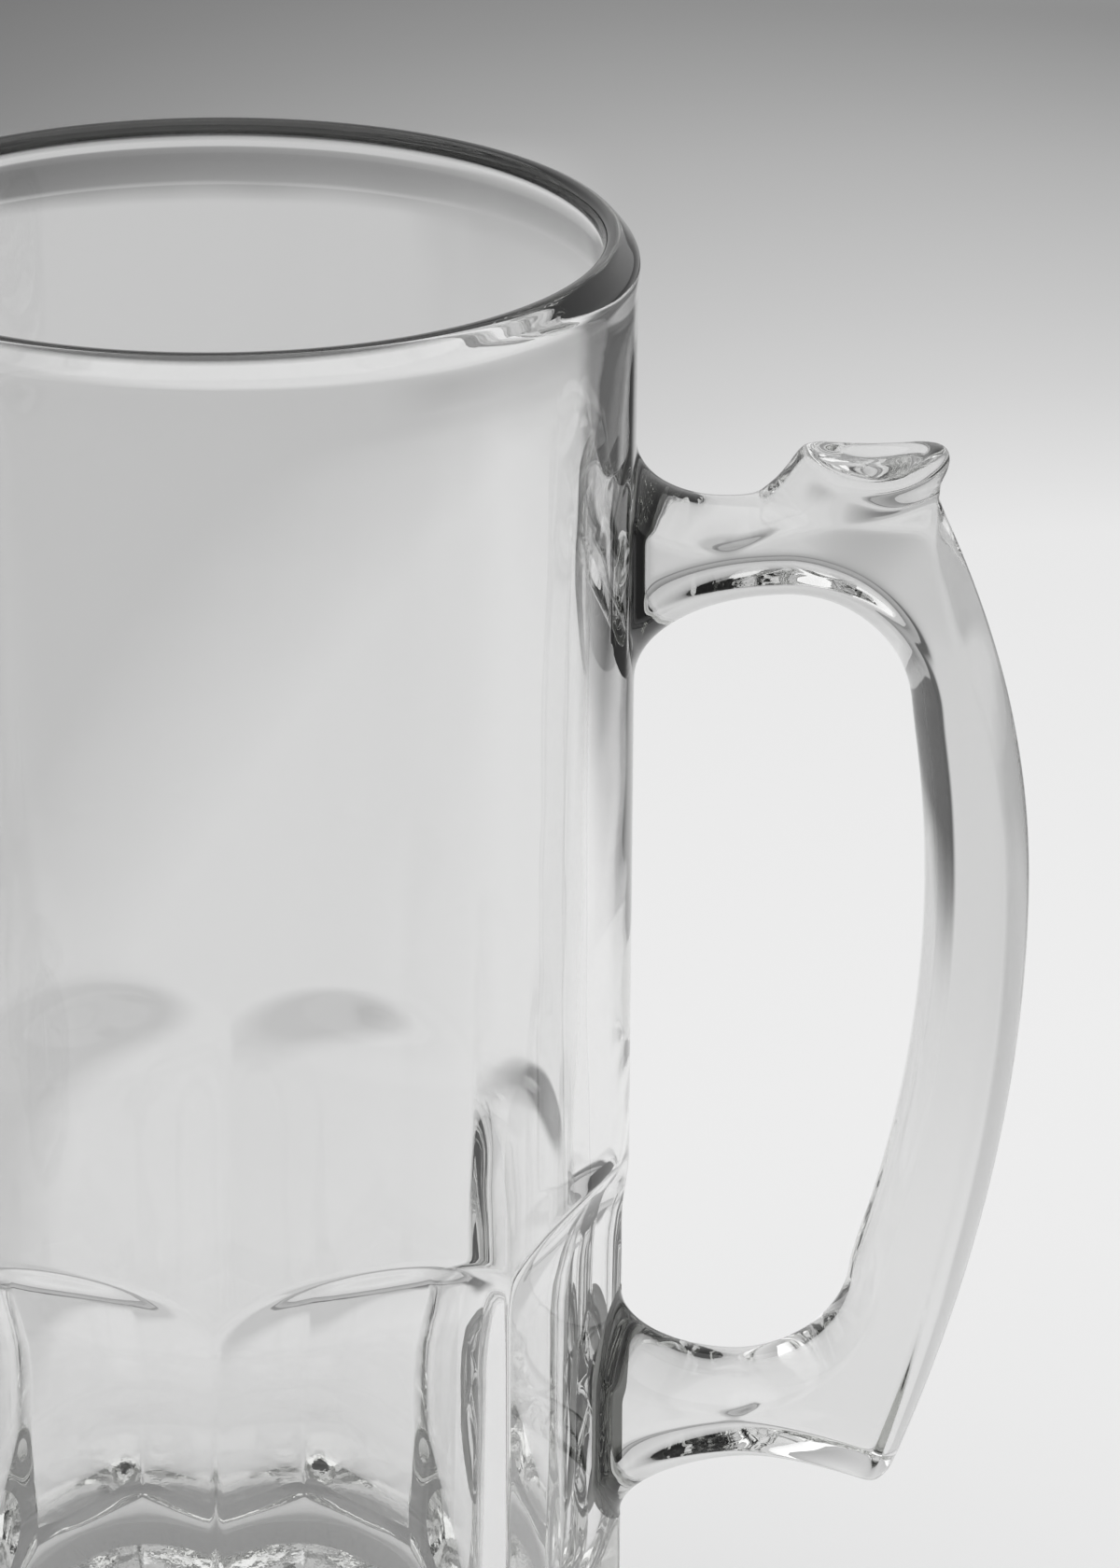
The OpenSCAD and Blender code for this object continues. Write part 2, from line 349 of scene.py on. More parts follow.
def shoulderRingList():
    # out along the upper arm's top and round the shoulder to the grip
    h = handle
    early, late = [mixed(h["armTopCrown"], h["padCrown"], share) for share in h["padCrownStart"]]
    rings = [rootRing((h["rootSteps"][-1] + h["gapPeak"]) / 2, False)]
    rings[-1]["outerShift"] = (0.0, -early)
    centre = peakX, cornerTopZ
    size = gripInner(cornerTopZ) - peakX, h["topCorner"]
    shoulder = atan2(h["armTop"] - cornerTopZ, gripOuter(h["armTop"]) - peakX)
    last = h["shoulderRings"]
    for i in range(last + 1):
        share = i / last
        rings.append(cornerRing(centre, size, mixed(pi / 2, shoulder, share),
                                mixed(h["armUnderCrown"], h["gripInnerCrown"], share / 2),
                                mixed(late, h["padCrown"], min(1.0, 2 * share))))
    for i in range(1, last + 1):
        share = i / last
        rings.append(cornerRing(centre, size, shoulder * (1 - share),
                                mixed(h["armUnderCrown"], h["gripInnerCrown"], (1 + share) / 2),
                                mixed(h["padCrown"], h["gripOuterCrown"], min(1.0, 0.5 + share))))
    swollen = rings[1:]
    for i, ring in enumerate(swollen):
        fade = smoothStep(i / h["swellRings"]) * smoothStep((len(swollen) - 1 - i) / last)
        ring["swell"] = h["restSwell"] * fade
    return rings


def lowCornerRingList():
    # round the lower corner to the tip, and back along the lower arm's underside
    h = handle
    centre = dipX, cornerLowZ
    size = gripInner(cornerLowZ) - dipX, h["lowCorner"]
    tip = atan2(tipZ - cornerLowZ, tipX - dipX)
    tipSide, tipUp = h["tipShift"]
    rings = []
    for share in h["cornerShares"]:
        shift = (mixed(-h["gripOuterCrown"], tipSide, share), mixed(0.0, tipUp, share))
        rings.append(cornerRing(centre, size, tip * share,
                                mixed(h["gripInnerCrown"], h["lowArmTopCrown"], share / 2), 0.0, shift))
    for share in h["tipShares"]:
        shift = (mixed(tipSide, 0.0, share), mixed(tipUp, h["lowArmUnderCrown"], share))
        rings.append(cornerRing(centre, size, mixed(tip, -pi / 2, share),
                                mixed(h["gripInnerCrown"], h["lowArmTopCrown"], (1 + share) / 2), 0.0, shift))
    return rings


def handleRings():
    rings = [rootRing(out, False) for out in handle["rootSteps"]]
    padStart = len(rings)
    rings += shoulderRingList()
    for i in range(1, handle["gripRings"]):
        z = mixed(cornerTopZ, cornerLowZ, i / handle["gripRings"])
        rings.append(plainRing((gripInner(z), z), (gripOuter(z), z), handle["gripInnerCrown"],
                               handle["gripOuterCrown"]))
    rings += lowCornerRingList()
    rings += [rootRing(out, True) for out in reversed(handle["rootSteps"])]
    return rings, padStart


# a ring's points run from the middle of the outer face round one side to the middle of the inner face,
# and back round the other side: the first and last few steps of each half lie on the faces
halfRing = 12
faceSteps = 4


def ringPoint(ring, column):
    # a point of the section: its crowned faces, rounded edges and flat sides
    side = 1 if column <= halfRing else -1
    step = column if column <= halfRing else 2 * halfRing - column
    half = ring["half"]
    swell = ring.get("swell", 0.0)
    edgeIn = handle["edgeIn"]
    (ix, iz), (ox, oz) = ring["inner"], ring["outer"]
    (jx, jz), (px, pz) = ring["innerShift"], ring["outerShift"]
    if faceSteps < step < halfRing - faceSteps:
        across = 1.0
        topX, topZ, lowX, lowZ = ox + px, oz + pz, ix + jx, iz + jz
        edge = min(edgeIn / hypot(lowX - topX, lowZ - topZ), handle["edgeShareMost"])
        share = (edge, 0.5, 1 - edge)[step - faceSteps - 1]
        x, z = mixed(topX, lowX, share), mixed(topZ, lowZ, share)
        half += swell * (1 - share)
    else:
        across = (handle["crownShares"] + (1 - edgeIn / half, 1.0))[min(step, halfRing - step)]
        if step <= faceSteps:
            x, z = ox + px * across ** 2, oz + pz * across ** 2
            half += swell
        else:
            x, z = ix + jx * across ** 2, iz + jz * across ** 2
    y = side * half * across
    if ring["hold"]:
        x += ring["hold"] * (wallX(y, z) - ring["start"])
    return Vector((x, y, z)) * mm


def discPlace(loop, row, column):
    # a square of the block's grid turned to a place on a round loop
    if abs(row) > abs(column):
        angle = pi / 4 * column / row + (pi if row < 0 else 0.0)
    elif column:
        angle = pi / 2 - pi / 4 * row / column + (pi if column < 0 else 0.0)
    else:
        angle = 0.0
    x = loop["middle"] + loop["long"] * cos(angle)
    y = loop["deep"] * sin(angle)
    return Vector((x, y, loop["height"] - loop["drop"] * sin(angle) ** 2)) * mm


def editedMesh(piece):
    # the mesh in edit mode, with the layers that hold each point's column and ring
    bm = bmesh.from_edit_mesh(piece.data)
    return bm, bm.verts.layers.int["column"], bm.verts.layers.int["ring"]


def buildHandle():
    rings, padStart = handleRings()
    bpy.ops.mesh.primitive_circle_add(vertices=2 * halfRing, radius=handle["depth"] * mm)
    piece = startPiece("glass_handle")
    bpy.ops.object.mode_set(mode="EDIT")
    bpy.ops.mesh.select_all(action="SELECT")
    bm = bmesh.from_edit_mesh(piece.data)
    bm.verts.layers.int.new("column")
    bm.verts.layers.int.new("ring")
    bm, columnOf, ringOf = editedMesh(piece)
    for column, vert in enumerate(bm.verts):
        vert[columnOf] = column
        vert.co = ringPoint(rings[0], column)
    for i, ring in enumerate(rings[1:], 1):
        bpy.ops.mesh.extrude_edges_move()
        bm, columnOf, ringOf = editedMesh(piece)
        for vert in bm.verts:
            if vert.select:
                vert[ringOf] = i
                vert.co = ringPoint(ring, vert[columnOf])
    # thumb rest: the block of faces on the shoulder is extruded to its neck, lip and dish
    bpy.ops.mesh.select_all(action="DESELECT")
    bpy.ops.mesh.select_mode(type="FACE")
    bm, columnOf, ringOf = editedMesh(piece)

    def inBlock(vert):
        onTop = vert[columnOf] <= faceSteps or vert[columnOf] >= 2 * halfRing - faceSteps
        return onTop and padStart <= vert[ringOf] <= padStart + 2 * faceSteps

    for face in bm.faces:
        face.select_set(all(inBlock(v) for v in face.verts))
    bmesh.update_edit_mesh(piece.data)
    for loop in handle["padLoops"] + (None,):
        bpy.ops.mesh.extrude_region_move()
        bm, columnOf, ringOf = editedMesh(piece)
        for vert in [v for v in bm.verts if v.select]:
            row = vert[ringOf] - padStart - faceSteps
            column = vert[columnOf] if vert[columnOf] <= faceSteps else vert[columnOf] - 2 * halfRing
            level = max(abs(row), abs(column))
            vert.co = discPlace(loop or handle["padDish"][faceSteps - level], row, column)
    bpy.ops.mesh.select_all(action="SELECT")
    bpy.ops.mesh.normals_make_consistent(inside=False)
    bpy.ops.object.mode_set(mode="OBJECT")
    smooth = piece.modifiers.new("firePolish", "SUBSURF")
    smooth.levels = smooth.render_levels = handle["smoothLevels"]
    smooth.boundary_smooth = "ALL"
    bpy.ops.object.modifier_apply(modifier="firePolish")
    return piece


def openLoops(bm):
    # the open edges of a mesh, as closed loops of vertices, always in the same order
    left = {edge.index: edge for edge in bm.edges if edge.is_boundary}
    loops = []
    while left:
        edge = left.pop(next(iter(left)))
        loop = list(edge.verts)
        while True:
            onward = [e for e in loop[-1].link_edges if e.index in left]
            if not onward:
                break
            left.pop(onward[0].index)
            loop.append(onward[0].other_vert(loop[-1]))
        loops.append(loop[:-1])
    return loops


def ordered(loop):
    # starts at the loop's top in the middle plane, and runs towards +Y first
    toMiddle = 50
    start = max(range(len(loop)), key=lambda i: loop[i].co.z - toMiddle * abs(loop[i].co.y))
    loop = loop[start:] + loop[:start]
    return loop if loop[1].co.y > 0 else [loop[0]] + loop[:0:-1]


def closeSeam(bm, loop, overlap):
    # fills the loop with the joint's face, and keeps its edge sharp
    poked = bmesh.ops.poke(bm, faces=[bm.faces.new(loop)])
    centre = poked["verts"][0]
    centre.co.x = (wallX(0.0, centre.co.z / mm) - overlap) * mm
    for part in poked["faces"]:
        part.material_index = 1
    for a, b in zip(loop, loop[1:] + loop[:1]):
        bm.edges.get((a, b)).smooth = False


def seatRoots(piece):
    # lays each root's open loop on the wall and closes it
    bm = bmesh.new()
    bm.from_mesh(piece.data)
    overlap = handle["rootOverlap"]
    reach = handle["blendLength"] * mm
    seams = []
    for loop in openLoops(bm):
        loop = ordered(loop)
        tree = KDTree(len(loop))
        shifts = []
        for i, vert in enumerate(loop):
            tree.insert(vert.co, i)
            shifts.append((wallX(vert.co.y / mm, vert.co.z / mm) - overlap) * mm - vert.co.x)
        tree.balance()
        middle = sum((v.co for v in loop), Vector()) / len(loop)
        for vert in bm.verts:
            if (vert.co - middle).length > handle["rootZone"] * mm:
                continue
            _, i, gap = tree.find(vert.co)
            if gap < reach:
                vert.co.x += shifts[i] * (1 - gap / reach) ** 2
        seams.append([v.co + Vector((overlap * mm, 0, 0)) for v in loop])
        closeSeam(bm, loop, overlap)
    bmesh.ops.recalc_face_normals(bm, faces=bm.faces)
    bm.to_mesh(piece.data)
    bm.free()
    return sorted(seams, key=lambda s: s[0].z)


def rimOutline():
    # a smooth curve that follows the rim's points
    places = [(wallTop + out, vessel["height"] - down) for out, down in vessel["rimPoints"]]
    knots = [places[0]] + places + [places[-1]]
    rows = vessel["rimPointRows"]
    curve = []
    for i in range(1, len(knots) - 1):
        a, b, c = Vector(knots[i - 1]), Vector(knots[i]), Vector(knots[i + 1])
        start, end = (a + b) / 2, (b + c) / 2
        for j in range(rows):
            share = j / rows
            curve.append(tuple(start * (1 - share) ** 2 + b * 2 * share * (1 - share) + end * share ** 2))
    curve.append(tuple(places[-1]))
    return curve[2:]


def footOutline():
    v = vessel
    footRadius = roundWall(0.0)
    dome = (v["ringRadius"] ** 2 + v["pushUp"] ** 2) / (2 * v["pushUp"])
    points = [(r, sqrt(dome * dome - r * r) - dome + v["pushUp"])
              for r in spread(0.0, v["ringRadius"], v["hollowRows"])]
    points += [(r, 0.0) for r in spread(v["ringRadius"], footRadius - v["heelRound"], v["ringRows"])]
    for i in range(v["heelRows"]):
        turn = i / v["heelRows"] * pi / 2
        points.append((footRadius - v["heelRound"] * (1 - sin(turn)), v["heelRound"] * (1 - cos(turn))))
    return points


def boreOutline(rimFoot):
    # down the inside from the rim, round the floor's corner and in to the axis
    v = vessel
    boreTop = v["mouthRadius"] - v["rimThickness"]
    slope = v["boreDraft"] / (v["height"] - v["floorThickness"])
    lean = sqrt(1 + slope * slope)
    cornerX = boreTop - v["boreDraft"] + v["floorRound"] * (slope - lean)
    wallFoot = v["floorThickness"] + v["floorRound"] * (1 - slope / lean)
    points = [(boreTop - slope * (v["height"] - z), z) for z in spread(rimFoot, wallFoot, v["boreRows"])[1:]]
    startTurn = atan2(slope, 1.0)
    for i in range(v["cornerRows"] + 1):
        turn = mixed(-startTurn, -pi / 2, i / v["cornerRows"])
        points.append((cornerX + v["floorRound"] * cos(turn),
                       v["floorThickness"] + v["floorRound"] * (1 + sin(turn))))
    points += [(r, v["floorThickness"]) for r in spread(cornerX, 0.0, v["floorRows"])[1:]]
    return points + [(0.0, v["floorThickness"])]


def vesselOutline():
    v = vessel
    low, high = v["lowRootSpan"], v["upperRootSpan"]
    archHigh = v["archRowMiddle"] + v["archRows"][-1]
    rimRows = rimOutline()
    rows = spread(v["heelRound"], low[0], v["rowsBelowRoot"]) + spread(*low, v["rowsBesideRoot"]) + [low[1]]
    rows += [v["archRowMiddle"] + step for step in v["archRows"][:-1]]
    rows += spread(archHigh, high[0], v["rowsBetweenRoots"]) + spread(*high, v["rowsBesideRoot"])
    rows += spread(high[1], rimRows[0][1], v["rowsAboveRoot"])
    return footOutline() + [(roundWall(z), z) for z in rows] + rimRows + boreOutline(rimRows[-1][1])


def crowded(angle):
    # moves a column towards the nearest ridge
    half = angle // halfTurn
    share = angle / halfTurn - half
    power = vessel["columnCrowding"]
    share = share ** power if half % 2 == 0 else 1 - (1 - share) ** power
    return (half + share) * halfTurn


def bentHeight(angle, z):
    # rows near the arches' height bend to follow them
    away = z - vessel["archRowMiddle"]
    reach = vessel["bendAbove"] if away > 0 else vessel["bendBelow"]
    share = 1 - smoothStep((abs(away) - vessel["bentFully"]) / reach)
    return z + (archHeight(angle) - vessel["archRowMiddle"]) * share


def pressFlutes(piece):
    bendTop = vessel["archRowMiddle"] + vessel["bendAbove"]
    onAxis = 0.01
    for vert in piece.data.vertices:
        x, y, z = vert.co / mm
        radius = hypot(x, y)
        if radius < onAxis:
            continue
        angle = crowded(round(atan2(y, x) % (2 * pi) / halfTurn, 5) * halfTurn)
        outer = radius > vessel["mouthRadius"] - vessel["outerSkin"] or z < vessel["pushUp"]
        if outer and z < bendTop:
            bent = bentHeight(angle, z)
            if z > vessel["heelRound"]:
                radius, z = roundWall(bent), bent
            radius = pressed(radius, angle, z)
        vert.co = Vector((radius * cos(angle), radius * sin(angle), z)) * mm


def cutRootBlocks(piece):
    # takes out the block of wall faces behind each root of the handle
    bm = bmesh.new()
    bm.from_mesh(piece.data)
    gone = []
    for face in bm.faces:
        middle = face.calc_center_median() / mm
        outer = middle.xy.length > vessel["mouthRadius"] - vessel["outerSkin"]
        if outer and abs(atan2(middle.y, middle.x)) < halfTurn:
            if any(low < middle.z < high for low, high in (vessel["lowRootSpan"], vessel["upperRootSpan"])):
                gone.append(face)
    bmesh.ops.delete(bm, geom=gone, context="FACES")
    bm.to_mesh(piece.data)
    bm.free()


def joinRoots(piece, seams):
    # bridges each opening to the handle's loop, with the new rings laid on the wall
    bm = bmesh.new()
    bm.from_mesh(piece.data)
    openings = sorted((ordered(loop) for loop in openLoops(bm)), key=lambda loop: loop[0].co.z)
    count = handle["bridgeRings"]
    for opening, seam in zip(openings, seams):
        last = opening
        starts = [(atan2(v.co.y, v.co.x), v.co.z) for v in opening]
        ends = [(atan2(p.y, p.x), p.z) for p in seam]
        for ring in range(1, count + 1):
            share = 1 - (1 - ring / count) ** handle["bridgeCrowding"]
            verts = []
            for (angleA, zA), (angleB, zB), p in zip(starts, ends, seam):
                angle, z = mixed(angleA, angleB, share), mixed(zA, zB, share)
                radius = wallRadius(angle, z / mm) * mm
                place = p if ring == count else Vector((radius * cos(angle), radius * sin(angle), z))
                verts.append(bm.verts.new(place))
            for i in range(len(verts)):
                j = (i + 1) % len(verts)
                bm.faces.new((last[i], last[j], verts[j], verts[i]))
            last = verts
        closeSeam(bm, last, 0.0)
    bmesh.ops.recalc_face_normals(bm, faces=bm.faces)
    bm.to_mesh(piece.data)
    bm.free()


def buildVessel(seams):
    outline = vesselOutline()
    bpy.ops.object.select_all(action="DESELECT")
    bpy.ops.mesh.primitive_circle_add(vertices=len(outline), radius=vessel["mouthRadius"] * mm)
    piece = startPiece("glass_vessel")
    bpy.ops.object.mode_set(mode="EDIT")
    bpy.ops.mesh.select_all(action="DESELECT")
    bm = bmesh.from_edit_mesh(piece.data)
    bm.verts.ensure_lookup_table()
    for vert, (radius, z) in zip(bm.verts, outline):
        vert.co = Vector((radius, 0.0, z)) * mm
    bm.edges.get((bm.verts[0], bm.verts[-1])).select_set(True)
    bmesh.update_edit_mesh(piece.data)
    bpy.ops.mesh.delete(type="EDGE")
    columns = 2 * vessel["flutes"] * vessel["halfFluteColumns"]
    bpy.ops.mesh.select_all(action="SELECT")
    bpy.ops.mesh.spin(steps=columns, angle=2 * pi, center=(0, 0, 0), axis=(0, 0, 1))
    bpy.ops.mesh.select_all(action="SELECT")
    bpy.ops.mesh.remove_doubles(threshold=vessel["weldDistance"] * mm)
    bpy.ops.mesh.normals_make_consistent(inside=False)
    bpy.ops.object.mode_set(mode="OBJECT")
    cutRootBlocks(piece)
    pressFlutes(piece)
    joinRoots(piece, seams)
    return piece


glassLook = {
    "index": 1.52,
    "absorbs": "#546030",      # a trace of iron turns thick glass faintly green
    "density": 2.0,
    "vesselTint": "#f9f9f9",
    "handlePaintedShade": "#e7e7e7",   # painted shade, matched: the handle is tinted darker than the wall, as the grip shows darker, the lower arm less so
    "lowArmPaintedShade": "#f4f4f4",
    "lowArmFrom": 115.0,
    "lowArmTo": 70.0,
    "rimPaintedShade": "#2c2c2c",      # painted shade, matched too: the flat on top of the rim is tinted dark, as it shows dark
    "rimFrom": 200.5,
    "rimTo": 201.2,
    "rimOuter": 47.8,
    "rimInner": 47.1,
    "rippleSize": 18.18,       # the mould leaves slow ripples, most of them about this wide
    "rippleDetail": 1.0,
    "rippleRoughness": 0.4,
    "rippleHeight": 0.3,
    "rippleDepth": 0.4,
    "pebbleSize": 3.03,        # its foot is pebbled, which breaks up what shows through the thick floor
    "pebbleDetail": 2.0,
    "pebbleTop": 13.0,
    "pebbleShare": 0.6,
}


def addAbsorption(tree):
    return addNode(tree, "VolumeAbsorption", {"Color": linear(glassLook["absorbs"]),
                                              "Density": glassLook["density"]})


def addRimPaintedShade(tree, place, height):
    # painted shade: the flat on top of the rim, between two radii, is tinted dark
    look = glassLook
    flat = addNode(tree, "VectorMath", {0: place, 1: (1, 1, 0)}, operation="MULTIPLY")
    radius = addNode(tree, "VectorMath", {0: flat.outputs["Vector"]}, operation="LENGTH")
    high = addNode(tree, "MapRange", {"Value": height, "From Min": look["rimFrom"] * mm,
                                      "From Max": look["rimTo"] * mm})
    inward = addNode(tree, "MapRange", {"Value": radius.outputs["Value"], "From Min": look["rimOuter"] * mm,
                                        "From Max": look["rimInner"] * mm})
    onShadedRim = addNode(tree, "Math", {0: high.outputs["Result"], 1: inward.outputs["Result"]},
                    operation="MULTIPLY")
    return addNode(tree, "MixRGB", {"Fac": onShadedRim.outputs["Value"], "Color1": linear(look["vesselTint"]),
                                    "Color2": linear(look["rimPaintedShade"])})


def addArmPaintedShade(tree, height):
    # painted shade: the handle's glass is darker than the wall's, less so down the lower arm
    look = glassLook
    low = addNode(tree, "MapRange", {"Value": height, "From Min": look["lowArmFrom"] * mm,
                                     "From Max": look["lowArmTo"] * mm}, interpolation_type="SMOOTHSTEP")
    return addNode(tree, "MixRGB", {"Fac": low.outputs["Result"], "Color1": linear(look["handlePaintedShade"]),
                                    "Color2": linear(look["lowArmPaintedShade"])})


def glassMaterial(node):
    # soda-lime glass, pressed and fire-polished: clear and bright, with faint ripples from the mould
    material = bpy.data.materials.new("fire_polished_soda_lime_glass_" + node)
    material.use_nodes = True
    tree = material.node_tree
    tree.nodes.clear()
    look = glassLook
    place = addNode(tree, "TexCoord").outputs["Object"]
    height = addNode(tree, "SeparateXYZ", {"Vector": place}).outputs["Z"]
    ripple = addNode(tree, "TexNoise", {"Vector": place, "Scale": 1 / (look["rippleSize"] * mm),
                                        "Detail": look["rippleDetail"], "Roughness": look["rippleRoughness"]})
    pebble = addNode(tree, "TexNoise", {"Vector": place, "Scale": 1 / (look["pebbleSize"] * mm),
                                        "Detail": look["pebbleDetail"]})
    low = addNode(tree, "MapRange", {"Value": height, "From Min": look["pebbleTop"] * mm, "From Max": 0.0,
                                     "To Max": look["pebbleShare"]})
    relief = addNode(tree, "Math", {0: pebble.outputs["Fac"], 1: low.outputs["Result"],
                                    2: ripple.outputs["Fac"]}, operation="MULTIPLY_ADD")
    bump = addNode(tree, "Bump", {"Height": relief.outputs["Value"], "Strength": look["rippleHeight"],
                                  "Distance": look["rippleDepth"] * mm})
    # the glass's own pale tint, with painted shade: a dark rim flat on the vessel, a darker handle
    glassTintAndPaintedShade = addRimPaintedShade(tree, place, height) if node == "vessel" else addArmPaintedShade(tree, height)
    shader = addNode(tree, "BsdfPrincipled", {
        "Base Color": glassTintAndPaintedShade.outputs["Color"], "Roughness": 0.0, "IOR": look["index"],
        "Transmission Weight": 1.0, "Normal": bump.outputs["Normal"]})
    # lamps reach through the glass, which takes the place of the bright pattern that real glass throws
    path = addNode(tree, "LightPath")
    clear = addNode(tree, "BsdfTransparent", {"Color": (1.0, 1.0, 1.0, 1.0)})
    both = addNode(tree, "MixShader", {0: path.outputs["Is Shadow Ray"], 1: shader.outputs["BSDF"],
                                       2: clear.outputs["BSDF"]})
    addNode(tree, "OutputMaterial", {"Surface": both.outputs["Shader"],
                                     "Volume": addAbsorption(tree).outputs["Volume"]})
    return material


def jointMaterial():
    # where the handle is fused to the wall there is no surface, so light goes straight through
    material = bpy.data.materials.new("fused_joint")
    material.use_nodes = True
    tree = material.node_tree
    tree.nodes.clear()
    shader = addNode(tree, "BsdfTransparent")
    addNode(tree, "OutputMaterial", {"Surface": shader.outputs["BSDF"],
                                     "Volume": addAbsorption(tree).outputs["Volume"]})
    return material


print("stage 1: handle")
handlePiece = buildHandle()
seams = seatRoots(handlePiece)
print("stage 2: vessel")
vesselPiece = buildVessel(seams)
joint = jointMaterial()
for piece, node in ((vesselPiece, "vessel"), (handlePiece, "handle")):
    piece.data.materials.append(glassMaterial(node))
    piece.data.materials.append(joint)
    for face in piece.data.polygons:
        face.use_smooth = True
    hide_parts(node)
    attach(piece, "root")
    print(piece.name, len(piece.data.polygons), "faces")

print("stage 3: table, light and camera")
# lengths here are metres; each patch fades in between two places
tableLook = {
    "radius": 12.0,
    "sides": 96,
    "poolMiddle": (0.3597, -0.825, 0.0),      # painted pool of light: the table is painted pale in a long oval and greys off outside it
    "poolTurn": 0.174,
    "poolNarrow": 3.65,
    "poolStops": (
        (1.13, "#f7f7f7"), (1.212, "#f5f5f5"), (1.338, "#f2f2f2"), (1.42, "#dadada"), (1.462, "#d0d0d0"),
        (1.508, "#c6c6c6"), (1.555, "#bababa"), (1.606, "#a9a9a9"), (1.653, "#999999"), (1.698, "#8b8b8b"),
        (1.746, "#7f7f7f"), (1.9, "#747474"), (2.15, "#747474"),
    ),
    "poolSpan": (1.0, 2.2),
    "side": "#606060",                        # painted shade: darker strips on both sides of the mug
    "sideMiddle": 0.045,
    "sideAcross": (0.125, 0.2),
    "sideAlong": (0.2, 0.34),
    "behind": "#d7d7d7",                      # painted light: the strip right behind the mug is painted lighter, for the light the glass throws there
    "behindAcross": (0.062, 0.03),
    "behindAlong": (0.73, 0.68),
    # a mid grey beyond about 0.9 m from the mug
    "far": "#c6c6c6",
    "farAway": (0.815, 0.9),
    # painted shade: the table in front of the mug is painted darker
    "front": "#a4a4a4",
    "frontAlong": (-0.04, -0.16),
    "roughness": 0.7,
    "shine": 0.1,
}


def addFade(tree, value, span, kind="SMOOTHSTEP"):
    return addNode(tree, "MapRange", {"Value": value, "From Min": span[0], "From Max": span[1]},
                   interpolation_type=kind).outputs["Result"]


def addPatch(tree, share, below, code, blend="MIX"):
    return addNode(tree, "MixRGB", {"Fac": share, "Color1": below, "Color2": linear(code)},
                   blend_type=blend).outputs["Color"]


def addProduct(tree, a, b):
    return addNode(tree, "Math", {0: a, 1: b}, operation="MULTIPLY").outputs["Value"]


def addRamp(tree, value, stops):
    ramp = addNode(tree, "ValToRGB", {"Fac": value})
    for i, (at, code) in enumerate(stops):
        stop = ramp.color_ramp.elements[i] if i < 2 else ramp.color_ramp.elements.new(0.99)
        stop.position, stop.color = at, linear(code)
    return ramp.outputs["Color"]


def tableMaterial():
    # a table with a matt coat of pale paint, with no clear reflection; its colour holds a painted pool of
    # light, and painted shade and painted light in patches round the mug
    material = bpy.data.materials.new("painted_table")
    material.use_nodes = True
    tree = material.node_tree
    tree.nodes.clear()
    look = tableLook
    place = addNode(tree, "TexCoord").outputs["Object"]
    parts = addNode(tree, "SeparateXYZ", {"Vector": place}).outputs
    across, along = parts["X"], parts["Y"]
    pool = addNode(tree, "Mapping", {"Vector": place, "Location": look["poolMiddle"],
                                     "Rotation": (0, 0, look["poolTurn"]),
                                     "Scale": (1 / look["poolNarrow"], 1, 1)}, vector_type="TEXTURE")
    away = addNode(tree, "VectorMath", {0: pool.outputs["Vector"]}, operation="LENGTH").outputs["Value"]
    low, high = look["poolSpan"]
    stops = [((at - low) / (high - low), code) for at, code in look["poolStops"]]
    # painted pool of light, greying off away from the oval's middle
    color = addRamp(tree, addFade(tree, away, look["poolSpan"], "LINEAR"), stops)
    # painted shade: darker strips beside the mug
    offMiddle = addNode(tree, "Math", {0: across, 1: look["sideMiddle"]}, operation="SUBTRACT")
    beside = addNode(tree, "Math", {0: offMiddle.outputs["Value"]}, operation="ABSOLUTE").outputs["Value"]
    side = addProduct(tree, addFade(tree, beside, look["sideAcross"]),
                      addFade(tree, along, look["sideAlong"]))
    color = addPatch(tree, side, color, look["side"])
    # painted light: a lighter strip right behind the mug
    behind = addProduct(tree, addFade(tree, across, look["behindAcross"]),
                        addFade(tree, along, look["behindAlong"]))
    color = addPatch(tree, behind, color, look["behind"], "LIGHTEN")
    # a mid grey beyond about 0.9 m from the mug
    distance = addNode(tree, "VectorMath", {0: place}, operation="LENGTH").outputs["Value"]
    color = addPatch(tree, addFade(tree, distance, look["farAway"]), color, look["far"])
    # painted shade: darker in front of the mug
    color = addPatch(tree, addFade(tree, along, look["frontAlong"]), color, look["front"])
    shader = addNode(tree, "BsdfPrincipled", {"Base Color": color, "Roughness": look["roughness"],
                                              "Specular IOR Level": look["shine"]})
    addNode(tree, "OutputMaterial", {"Surface": shader.outputs["BSDF"]})
    return material


bpy.ops.mesh.primitive_circle_add(vertices=tableLook["sides"], radius=tableLook["radius"], fill_type="NGON")
table = startPiece("table")
table.data.materials.append(tableMaterial())

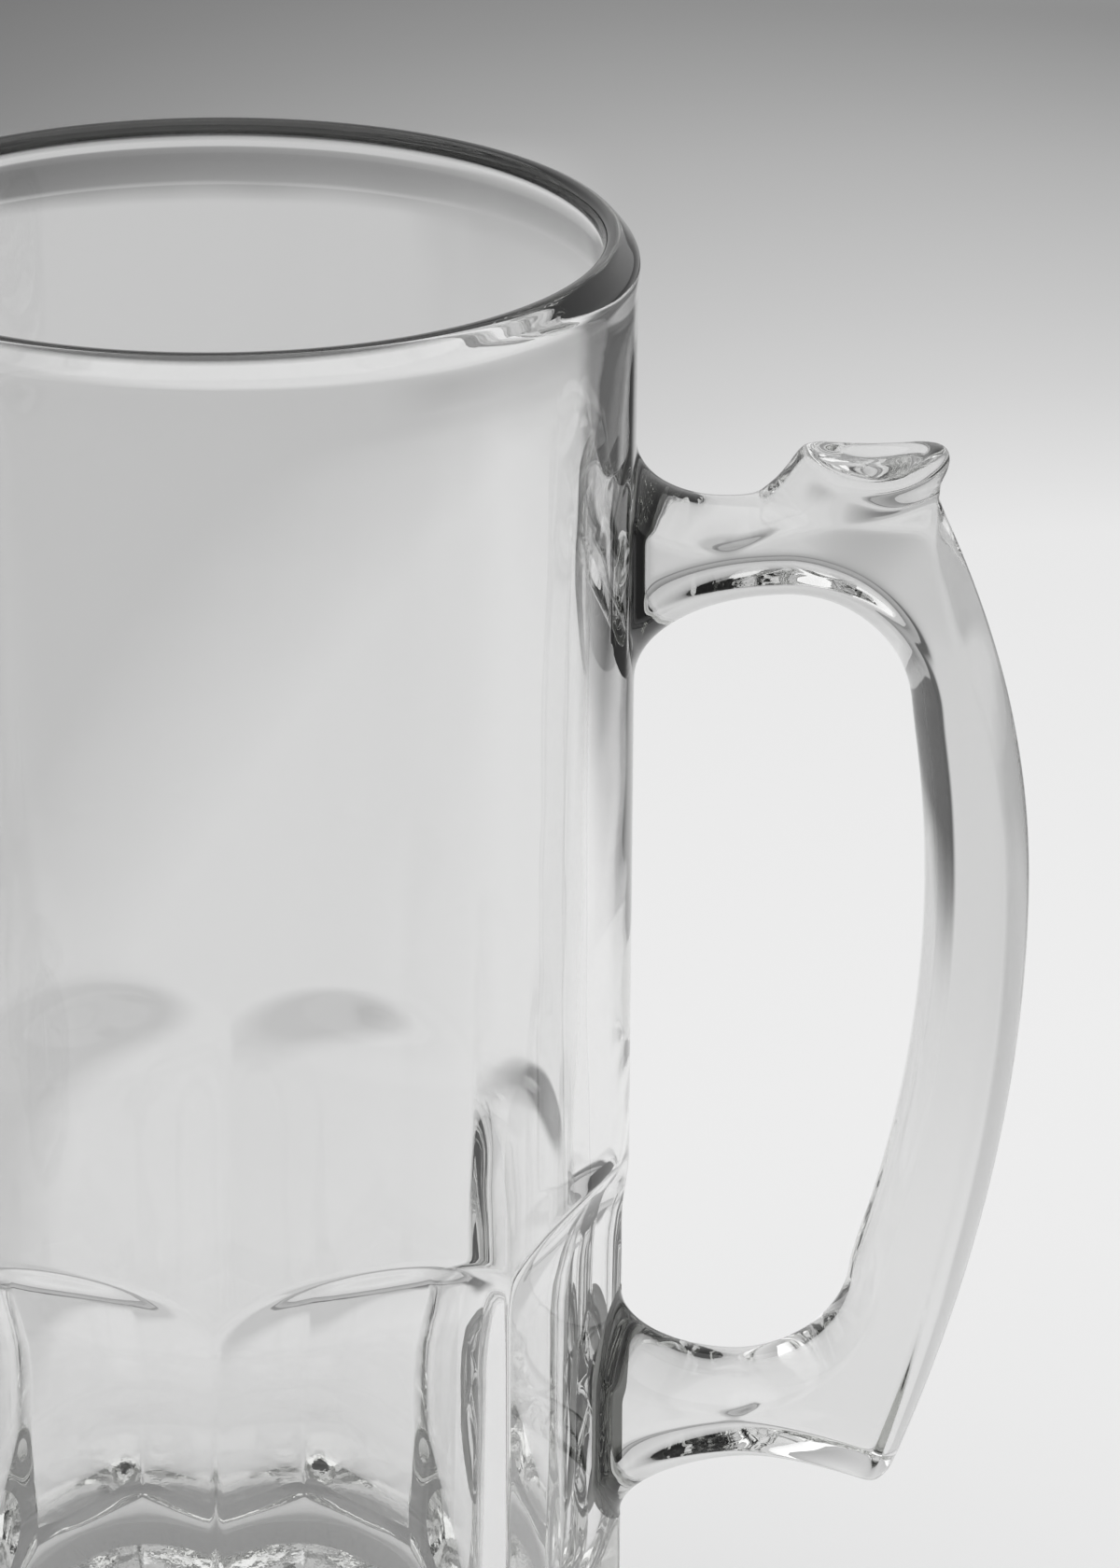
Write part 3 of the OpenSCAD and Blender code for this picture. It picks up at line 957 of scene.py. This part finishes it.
# lengths in metres, power in watts; the tent's stops run from the horizon to straight up
light = {
    "tent": ((0.0, "#d4d4d4"), (0.15, "#e7e7e7"), (0.5, "#cbcbcb"), (1.0, "#959595")),
    "tentStrength": 1.0,
    "softboxPlace": (0.0, -0.1, 1.6),
    "softboxTarget": (0.0, -0.1, 0.0),
    "softboxSize": 3.0,
    "softboxPower": 24.5,
}
world = bpy.data.worlds.new("light_tent")
scene.world = world
world.use_nodes = True
tree = world.node_tree
tree.nodes.clear()
direction = addNode(tree, "SeparateXYZ", {"Vector": addNode(tree, "TexCoord").outputs["Generated"]})
background = addNode(tree, "Background", {"Color": addRamp(tree, direction.outputs["Z"], light["tent"]),
                                          "Strength": light["tentStrength"]})
addNode(tree, "OutputWorld", {"Surface": background.outputs["Background"]})

lamp = bpy.data.lights.new("overhead_softbox", "AREA")
lamp.shape = "RECTANGLE"
lamp.size = lamp.size_y = light["softboxSize"]
lamp.energy = light["softboxPower"]
softbox = bpy.data.objects.new("overhead_softbox", lamp)
softbox.location = light["softboxPlace"]
aim = Vector(light["softboxTarget"]) - Vector(light["softboxPlace"])
softbox.rotation_euler = aim.to_track_quat("-Z", "Y").to_euler()
softbox.visible_camera = False
scene.collection.objects.link(softbox)

# place and focal length in millimetres, angles in degrees
view = {
    "place": (25.26, -1244.34, 584.0),
    "yaw": 0.711,
    "pitch": 19.876,
    "roll": 0.160,
    "lens": 254.67,
    "sensor": 36.0,
}
yaw, pitch, roll = radians(view["yaw"]), radians(view["pitch"]), radians(view["roll"])
ahead = Vector((sin(yaw) * cos(pitch), cos(yaw) * cos(pitch), -sin(pitch)))
right = ahead.cross(Vector((0, 0, 1))).normalized()
up = right.cross(ahead)
tiltedRight = right * cos(roll) + up * sin(roll)
tiltedUp = up * cos(roll) - right * sin(roll)
lens = bpy.data.cameras.new("camera")
lens.lens = view["lens"]
lens.sensor_width = view["sensor"]
camera = bpy.data.objects.new("camera", lens)
turn = Matrix((tiltedRight, tiltedUp, -ahead)).transposed().to_4x4()
camera.matrix_world = Matrix.Translation(Vector(view["place"]) * mm) @ turn
scene.collection.objects.link(camera)
scene.camera = camera

scene.view_settings.view_transform = "Standard"
# light crosses many faces of glass before it leaves
crossings, mirrorings = 32, 12
scene.cycles.max_bounces = crossings
scene.cycles.transmission_bounces = crossings
scene.cycles.transparent_max_bounces = crossings
scene.cycles.glossy_bounces = mirrorings
scene.cycles.caustics_reflective = False
scene.cycles.caustics_refractive = False
